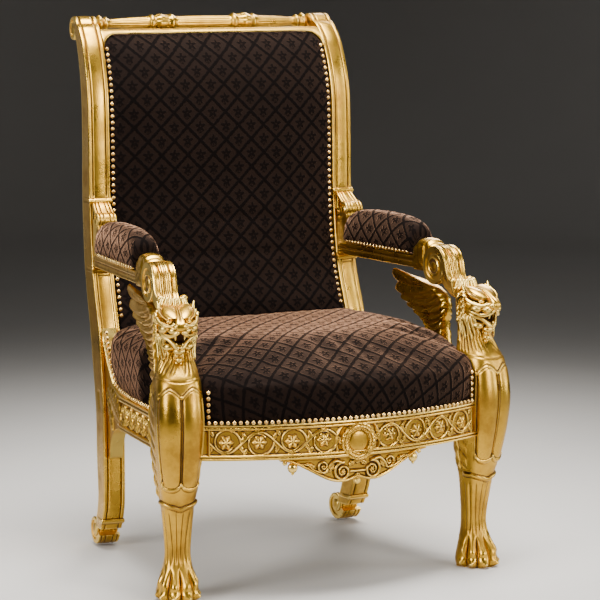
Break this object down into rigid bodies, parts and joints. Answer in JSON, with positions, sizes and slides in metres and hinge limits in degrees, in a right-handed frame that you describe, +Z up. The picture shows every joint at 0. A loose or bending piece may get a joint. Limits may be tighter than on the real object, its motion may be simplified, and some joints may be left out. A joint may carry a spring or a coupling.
{
  "type": "throne armchair",
  "caption": "Carved giltwood throne armchair with lion-headed monopod front legs, winged arm supports, scrolled back posts and nailed velvet upholstery.",
  "frame": {"origin": "on the floor, at the middle of the bounding box in plan", "axes": "+X to the right of someone facing the throne, -Y out of the front of the seat, +Z up"},
  "size_m": [0.786, 0.8121, 1.132],
  "materials": {
    "gilt": "burnished gold leaf over carved wood, worn to a dark ground in the recesses",
    "velvet": "cut velvet in dark brown with a lattice of diamonds, each holding a small sprig",
    "nails": "domed upholstery nails, softly polished"
  },
  "bodies": {
    "root": {"left_back_post": "gilt", "left_side_rail": "gilt", "left_arm": "gilt", "left_wing": "gilt", "left_front_leg": "gilt", "right_back_post": "gilt", "right_side_rail": "gilt", "right_arm": "gilt", "right_wing": "gilt", "right_front_leg": "gilt", "front_rail": "gilt", "apron": "gilt", "wreath_medallion": "gilt", "back_rail": "gilt", "crest_rail": "gilt", "top_rail": "gilt", "left_arm_pad": "velvet", "right_arm_pad": "velvet", "inside_back": "velvet", "outside_back": "velvet", "seat_cushion": "velvet"}
  },
  "joints": []
}
